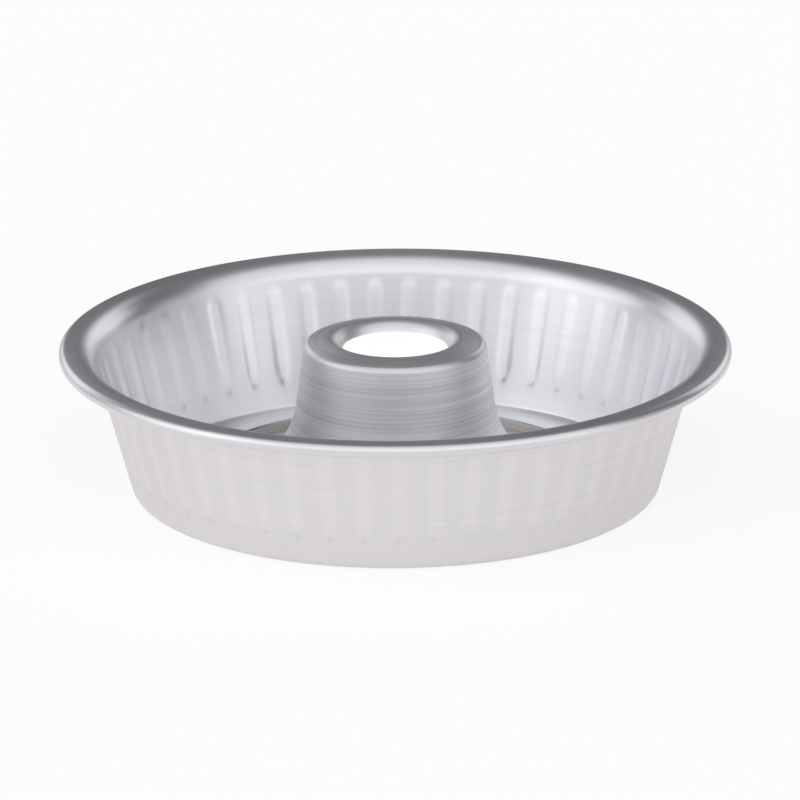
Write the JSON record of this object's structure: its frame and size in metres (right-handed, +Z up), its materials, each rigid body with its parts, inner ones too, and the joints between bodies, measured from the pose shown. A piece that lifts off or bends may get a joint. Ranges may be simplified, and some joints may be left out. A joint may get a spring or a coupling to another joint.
{
  "type": "ring cake mould",
  "caption": "Round fluted ring cake mould with a flared curled rim and a loose base plate carrying a flared centre tube.",
  "frame": {"origin": "on the mould's axis, in the plane that its foot stands on", "axes": "+Z up along the axis of the ring and tube; -Y towards the picture's camera side"},
  "size_m": [0.28, 0.28, 0.0645],
  "materials": {
    "pan_aluminium": "satin pressed sheet",
    "base_aluminium": "satin pressed sheet",
    "tube_aluminium": "spun, with fine turning lines",
    "rim_wire_steel": "drawn wire"
  },
  "bodies": {
    "pan": {"pan_ring": "pan_aluminium", "rim_wire": "rim_wire_steel"},
    "loose_base": {"base_plate": "base_aluminium", "centre_tube": "tube_aluminium"}
  },
  "joints": [
    {"name": "base_lift", "type": "slide", "parent": "pan", "child": "loose_base", "axis": [0, 0, 1], "range_m": [0, 0.08]}
  ]
}
